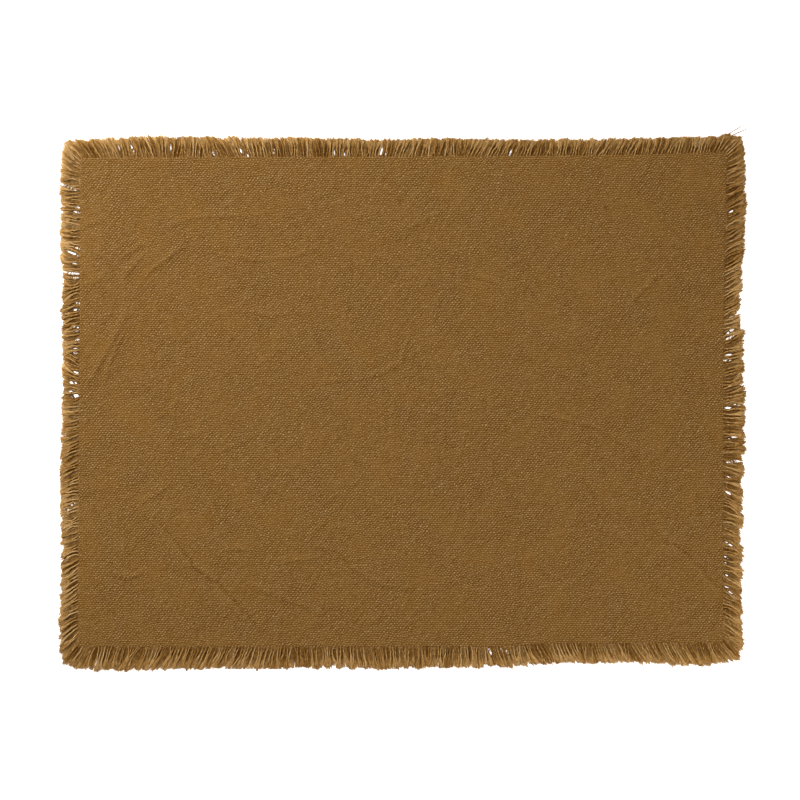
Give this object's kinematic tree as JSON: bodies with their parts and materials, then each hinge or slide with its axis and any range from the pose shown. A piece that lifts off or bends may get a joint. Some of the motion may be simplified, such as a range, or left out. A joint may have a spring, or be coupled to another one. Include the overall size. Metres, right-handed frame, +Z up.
{
  "type": "fabric placemat",
  "caption": "Flat rectangular placemat of heavy plain-weave cotton, with a short self-fringe on all four sides.",
  "frame": {"origin": "middle of the mat's box, fringe included, on the surface that the mat lies on", "axes": "+X along the long sides, +Y along the short sides towards the top of the mat, +Z up out of the face"},
  "size_m": [0.4524, 0.3526, 0.0019],
  "materials": {
    "cloth": "matt heavy plain-weave cotton, ochre brown",
    "fringe": "loose cotton yarn ends, golden brown, darker at the roots"
  },
  "bodies": {
    "root": {"cloth": "cloth", "fringe_top": "fringe", "fringe_bottom": "fringe", "fringe_left": "fringe", "fringe_right": "fringe"}
  },
  "joints": []
}
